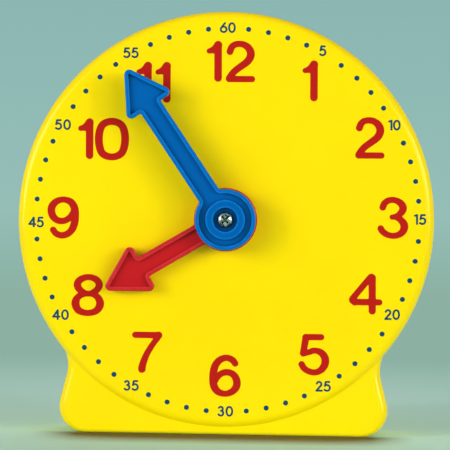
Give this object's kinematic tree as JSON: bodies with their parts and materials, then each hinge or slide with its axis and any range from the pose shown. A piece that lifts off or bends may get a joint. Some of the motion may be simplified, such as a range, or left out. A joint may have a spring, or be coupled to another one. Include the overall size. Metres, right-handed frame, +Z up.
{
  "type": "geared teaching clock",
  "caption": "Round-dial teaching clock on a moulded base, with arrow hands geared together so that the hour hand follows the minute hand.",
  "frame": {"origin": "on the table, in the flat underside of the base, below the hands' axis and half way through the body's depth", "axes": "+Z up, the dial faces -Y, and +X is to the right of someone who reads the dial; the hands turn about a line along Y"},
  "size_m": [0.102, 0.0294, 0.1039],
  "materials": {
    "case_yellow": "moulded, glossy",
    "cover_yellow": "moulded, satin",
    "hand_red": "moulded, satin",
    "hand_blue": "moulded, satin",
    "gear_plastic": "natural, matte",
    "screw_steel": "zinc plated",
    "screw_bright": "bright nickel"
  },
  "bodies": {
    "case": {"front_case": "case_yellow", "rear_cover": "cover_yellow", "cover_screws": "screw_steel", "gear_bridge": "gear_plastic", "bridge_screws": "screw_steel", "idler_pin": "screw_steel", "spring_washer": "screw_steel"},
    "minute_train": {"minute_hand": "hand_blue", "hand_screw": "screw_bright", "minute_arbor": "gear_plastic"},
    "intermediate": {"intermediate_wheel": "gear_plastic"},
    "hour_train": {"hour_hand": "hand_red", "hour_wheel": "gear_plastic"}
  },
  "joints": [
    {"name": "minute_turn", "type": "hinge", "parent": "case", "child": "minute_train", "pos_m": [0, 0, 0.0529], "axis": [0, 1, 0], "continuous": true},
    {"name": "intermediate_turn", "type": "hinge", "parent": "case", "child": "intermediate", "pos_m": [0, 0, 0.0319], "axis": [0, 1, 0], "continuous": true},
    {"name": "hour_turn", "type": "hinge", "parent": "case", "child": "hour_train", "pos_m": [0, 0, 0.0529], "axis": [0, 1, 0], "continuous": true}
  ],
  "couplings": [
    {"joint": "intermediate_turn", "follows": "minute_turn", "ratio": -0.33333},
    {"joint": "hour_turn", "follows": "minute_turn", "ratio": 0.083333}
  ]
}
